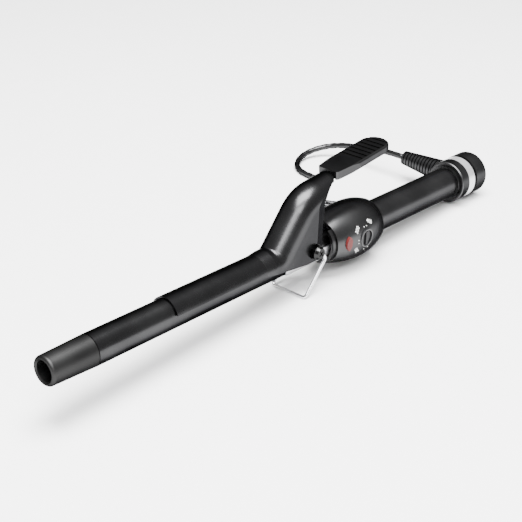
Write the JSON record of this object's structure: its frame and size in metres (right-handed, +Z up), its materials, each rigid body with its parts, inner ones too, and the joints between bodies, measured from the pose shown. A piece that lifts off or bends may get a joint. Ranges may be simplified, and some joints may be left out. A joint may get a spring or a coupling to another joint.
{
  "type": "curling iron",
  "caption": "Spring-clip curling iron with a slim heated barrel, thumb lever, wire rest stand, side temperature dial, round handle and swivelling mains cord",
  "frame": {"origin": "on the surface that the iron rests on, under the middle of the iron without its free cord", "axes": "+X runs along the iron from the tip to the cord end, +Z is up, +Y is the far side from the dial"},
  "size_m": [0.3984, 0.1484, 0.0764],
  "materials": {
    "black_enamel": "glossy black baked coating",
    "tip_plastic": "matte black heat-proof plastic",
    "satin_plastic": "satin black moulded plastic",
    "grip_plastic": "fine matte black plastic",
    "chrome_wire": "polished chrome wire",
    "bracket_steel": "plain steel",
    "spring_steel": "blued spring steel",
    "black_screw": "black oxide screw",
    "cast_aluminium": "bare cast aluminium",
    "heater_ceramic": "white heater ceramic",
    "red_lens": "translucent red plastic",
    "bezel_gray": "dark gray gloss plastic",
    "silver_band": "satin silver foil",
    "board_laminate": "green circuit laminate",
    "lead_sleeve": "silicone sleeve",
    "bearing_plastic": "natural acetal plastic",
    "contact_brass": "plain brass",
    "cord_rubber": "black cord jacket and moulding"
  },
  "bodies": {
    "iron": {"barrel": "black_enamel", "barrel_socket": "tip_plastic", "clamp_bracket": "bracket_steel", "clamp_spring": "spring_steel", "contact_carrier": "bearing_plastic", "contact_springs": "contact_brass", "control_board": "board_laminate", "cool_tip": "tip_plastic", "dial_bezel": "bezel_gray", "dial_potentiometer": "grip_plastic", "heat_spreader_lower": "cast_aluminium", "heat_spreader_upper": "cast_aluminium", "heater_leads": "lead_sleeve", "heater_plate": "heater_ceramic", "housing_lower": "satin_plastic", "housing_screws": "bracket_steel", "housing_upper": "satin_plastic", "indicator_lamp": "red_lens", "indicator_lens": "red_lens", "pivot_screws": "black_screw", "pivot_washers": "bracket_steel", "plug_blades": "contact_brass", "plug_body": "cord_rubber", "power_cord": "cord_rubber", "power_cord_coil": "cord_rubber", "power_cord_tail": "cord_rubber", "supply_leads": "lead_sleeve", "swivel_bearing": "bearing_plastic", "thermal_fuse": "cast_aluminium"},
    "clip": {"clamp_blade": "black_enamel", "thumb_rest": "grip_plastic", "thumb_rest_screws": "bracket_steel"},
    "stand": {"wire_stand": "chrome_wire"},
    "dial": {"dial_knob": "satin_plastic"},
    "swivel": {"swivel_core": "bearing_plastic", "slip_rings": "contact_brass", "swivel_front_shell": "satin_plastic", "rating_band": "silver_band", "swivel_rear_cap": "satin_plastic", "end_cap_screws": "bracket_steel", "strain_relief": "cord_rubber"}
  },
  "joints": [
    {"name": "clip_pivot", "type": "hinge", "parent": "iron", "child": "clip", "pos_m": [0.0045, 0, 0.02833], "axis": [0, 1, 0], "range_deg": [0, 18], "stiffness_Nm_per_rad": 0.35, "springref_deg": -25.78, "deforming": ["clamp_spring"]},
    {"name": "stand_pivot", "type": "hinge", "parent": "iron", "child": "stand", "pos_m": [0.0045, 0, 0.02833], "axis": [0, 1, 0], "range_deg": [0, 38]},
    {"name": "dial_turn", "type": "hinge", "parent": "iron", "child": "dial", "pos_m": [0.04734, -0.0193, 0.02408], "axis": [0, -1, 0], "range_deg": [-135, 135]},
    {"name": "cord_swivel", "type": "hinge", "parent": "iron", "child": "swivel", "pos_m": [0.1816, 0, 0.01604], "axis": [0.9986, 0, -0.0523], "continuous": true, "deforming": ["power_cord"]}
  ]
}
